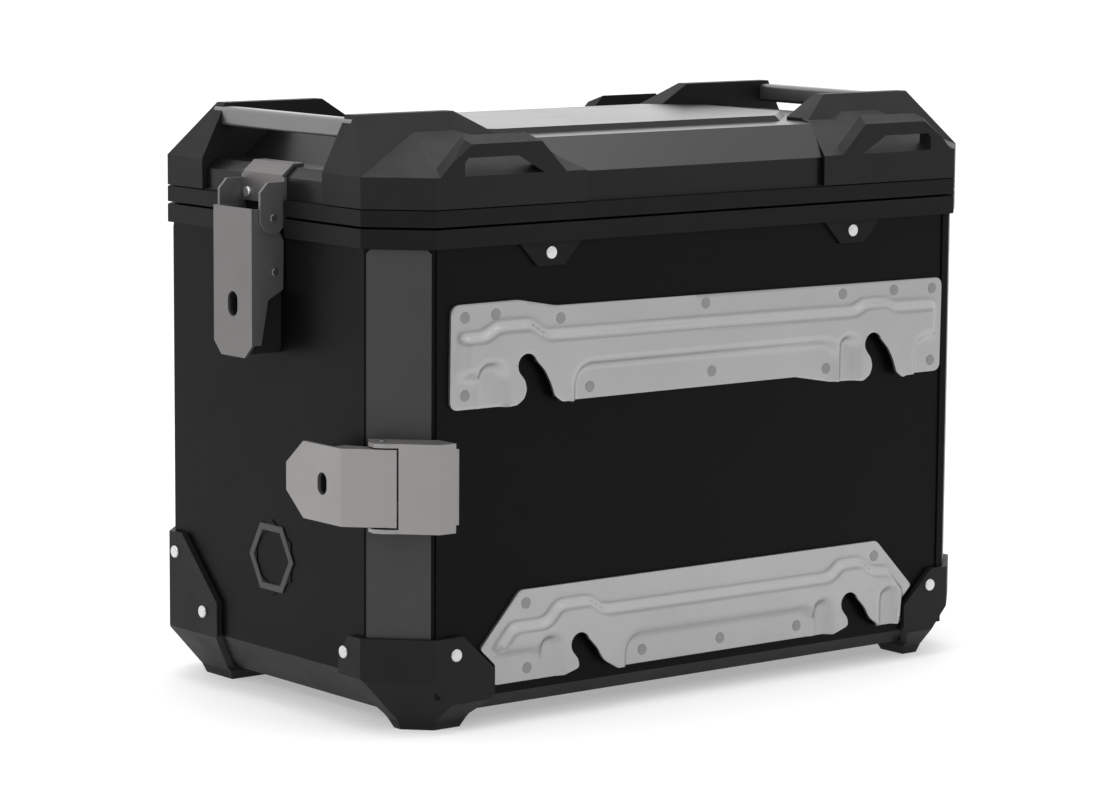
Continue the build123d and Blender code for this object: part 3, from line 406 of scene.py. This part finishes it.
# The plates are drawn about the middle of the body's front, from its underside upwards.
DRAWN_AT = Vector((0, (SHELL_LOW.y + SHELL_HIGH.y) / 2, SHELL_LOW.z))
UPPER = ([(-199.8, 187.0, 6), (-199.0, 250.4, 7), (-148.8, 250.7, 30), (-119.5, 245.4, 30),
          (203.5, 242.8, 6), (202.9, 181.2, 6), (175.0, 181.2, 3), (168.5, 181.0, 3)]
         + hook(138.9, 203.9) + [(106.0, 181.0, 6), (75.8, 186.4, 8), (-109.0, 186.6, 3)]
         + hook(-144.7, 211.0) + [(-160.0, 186.9, 6)])
UPPER_FIELDS = [[(-194, 170, 0), (-194, 233, 6), (-176, 233, 8), (-166, 238.5, 8), (-140, 238.5, 9),
                 (-128, 231, 10), (124, 228.5, 10), (132, 232.5, 8), (152, 232.5, 8), (160, 229, 8),
                 (198.5, 228.5, 6), (198.5, 170, 0)]]
UPPER_POCKETS = [[(-230, 150, 0), (-230, 205, 0), (-181, 205, 7), (-181, 150, 0)],
                 [(-178, 150, 0), (-178, 211, 7), (-164, 211, 7), (-164, 150, 0)],
                 [(-104, 150, 0), (-104, 206, 12), (108, 205, 12), (108, 150, 0)],
                 [(114, 150, 0), (114, 207, 5), (123, 207, 5), (123, 150, 0)],
                 [(180, 150, 0), (180, 203, 9), (230, 203, 0), (230, 150, 0)]]
LOWER = ([(-165.0, 16.0, 1), (-165.0, 28.5, 2), (-176.3, 39.3, 2), (-146.0, 72.6, 5),
          (149.2, 72.6, 6), (181.0, 39.8, 2), (172.0, 31.5, 2), (172.0, 16.0, 1),
          (151.0, 16.0, 3)]
         + [c for c in hook(121.8, 34.8) if c[1] > 16.5] + [(108.0, 16.0, 4), (-72.0, 16.0, 3)]
         + [c for c in hook(-102.2, 34.8) if c[1] > 16.5] + [(-118.0, 16.0, 4)])
LOWER_FIELDS = [[(-160, -10, 0), (-168, 37, 5), (-154, 53, 6), (-128, 53, 8),
                 (-118, 63.5, 10), (-92, 63.5, 12), (-82, 56.5, 10), (106, 56, 10),
                 (114, 63.5, 10), (134, 63.5, 12), (144, 56, 8),
                 (160, 54, 6), (173, 39, 5), (168, -10, 0)]]
LOWER_POCKETS = [[(-200, -10, 0), (-200, 33, 0), (-133, 33, 7), (-133, -10, 0)],
                 [(-130, -10, 0), (-130, 39, 7), (-119, 39, 7), (-119, -10, 0)],
                 [(-62, -10, 0), (-62, 33, 10), (90, 33, 10), (90, -10, 0)],
                 [(95, -10, 0), (95, 36, 5), (103, 36, 5), (103, -10, 0)],
                 [(153, -10, 0), (153, 38, 7), (162, 38, 7), (162, -10, 0)]]
for name, outline, fields, pockets in (
        ("upper_mount_plate", UPPER, UPPER_FIELDS, UPPER_POCKETS),
        ("lower_mount_plate", LOWER, LOWER_FIELDS, LOWER_POCKETS)):
    pressed_plate(name, rounded_outline(outline), [rounded_outline(f) for f in fields],
                  [rounded_outline(p) for p in pockets])


# ---- plain hexagon on the left end ------------------------------------------------
BADGE_AT = Vector((-6.0, 84.0))      # along the width and up, drawn like the plates
BADGE_RADIUS, BADGE_LINE, BADGE_STAND, BADGE_BEVEL = 24.0, 5.0, 0.5, 0.4
BADGE_SIDES = 6


def end_badge():
    """A raised hexagonal outline with bevelled sides, over the one on the body."""
    mesh = bmesh.new()
    face_x = SHELL_LOW.x
    rings = ((BADGE_RADIUS, 0.0), (BADGE_RADIUS - BADGE_BEVEL, BADGE_STAND),
             (BADGE_RADIUS - BADGE_LINE + BADGE_BEVEL, BADGE_STAND), (BADGE_RADIUS - BADGE_LINE, 0.0))
    loops = []
    corners = [math.tau * k / BADGE_SIDES for k in range(BADGE_SIDES)]
    for radius, stand in rings:
        loops.append([mesh.verts.new(((face_x - stand) * MM,
                                      (DRAWN_AT.y + BADGE_AT.x + radius * math.cos(a)) * MM,
                                      (DRAWN_AT.z + BADGE_AT.y + radius * math.sin(a)) * MM))
                      for a in corners])
    for i, loop in enumerate(loops):
        after = loops[(i + 1) % len(loops)]
        for k in range(BADGE_SIDES):
            mesh.faces.new((loop[k], loop[k - 1], after[k - 1], after[k]))
    bmesh.ops.recalc_face_normals(mesh, faces=mesh.faces[:])
    data = bpy.data.meshes.new("end_badge")
    mesh.to_mesh(data)
    mesh.free()
    badge = bpy.data.objects.new("end_badge", data)
    bpy.context.scene.collection.objects.link(badge)
    data.materials.append(FINISHES["strip_paint"])
    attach(badge, "case")


end_badge()


# ---- stage ------------------------------------------------------------------------
FLOOR_HALF, FLOOR_TONE, FLOOR_GLOW, FLOOR_ROUGHNESS = 40, 0.62, 0.38, 0.9
BACK_WALL_WAY = (0.62, 0.78, 0)          # from the camera towards the wall behind the case
WALL_BAND, CEILING_BAND = (-0.4, 0.8), (0.15, 0.55)


def add_floor():
    """A lit white table: pale surface with some light of its own, so shadows stay soft."""
    size = FLOOR_HALF
    mesh = bpy.data.meshes.new("floor")
    mesh.from_pydata([(-size, -size, 0), (size, -size, 0), (size, size, 0), (-size, size, 0)],
                     [], [(0, 1, 2, 3)])
    floor = bpy.data.objects.new("floor", mesh)
    bpy.context.scene.collection.objects.link(floor)
    material, tree, shader = new_material("floor")
    shader.inputs["Base Color"].default_value = (FLOOR_TONE, FLOOR_TONE, FLOOR_TONE, 1)
    shader.inputs["Roughness"].default_value = FLOOR_ROUGHNESS
    shader.inputs["Specular IOR Level"].default_value = 0.0
    shader.inputs["Emission Color"].default_value = (1, 1, 1, 1)
    shader.inputs["Emission Strength"].default_value = FLOOR_GLOW
    floor.data.materials.append(material)


def add_softbox(name, place, target, width, height, power):
    data = bpy.data.lights.new(name, "AREA")
    data.shape = "RECTANGLE"
    data.size, data.size_y = width, height
    data.energy = power
    light = bpy.data.objects.new(name, data)
    bpy.context.scene.collection.objects.link(light)
    light.location = place
    aim = Vector(target) - Vector(place)
    light.rotation_mode = "QUATERNION"
    light.rotation_quaternion = aim.to_track_quat("-Z", "Y")


def add_world(overhead, front, back):
    """A studio's walls: bright ceiling, dim behind the camera, bright behind the case."""
    world = bpy.data.worlds.new("studio")
    bpy.context.scene.world = world
    world.use_nodes = True
    tree = world.node_tree
    tree.nodes["Background"].inputs["Color"].default_value = (1, 1, 1, 1)
    coords = add(tree, "ShaderNodeTexCoord")
    across = add(tree, "ShaderNodeVectorMath", operation="DOT_PRODUCT")
    across.inputs[1].default_value = BACK_WALL_WAY
    tree.links.new(coords.outputs["Generated"], across.inputs[0])
    wall = ramp(tree, across.outputs["Value"], *WALL_BAND, front, back)
    split = add(tree, "ShaderNodeSeparateXYZ")
    tree.links.new(coords.outputs["Generated"], split.inputs[0])
    height = ramp(tree, split.outputs["Z"], *CEILING_BAND)
    level = add(tree, "ShaderNodeMix", data_type="FLOAT")
    level.inputs[3].default_value = overhead
    tree.links.new(height, level.inputs[0])
    tree.links.new(wall, level.inputs[2])
    tree.links.new(level.outputs[0], tree.nodes["Background"].inputs["Strength"])


add_floor()
add_softbox("overhead", (0.1, 0.2, 1.9), (0, 0, 0), 1.8, 1.8, 14)
add_softbox("left_key", (-2.4, -0.6, 1.3), (0, 0, 0.2), 1.0, 1.6, 9)
add_world(1.25, 0.22, 1.9)
bpy.context.scene.view_settings.view_transform = "Standard"
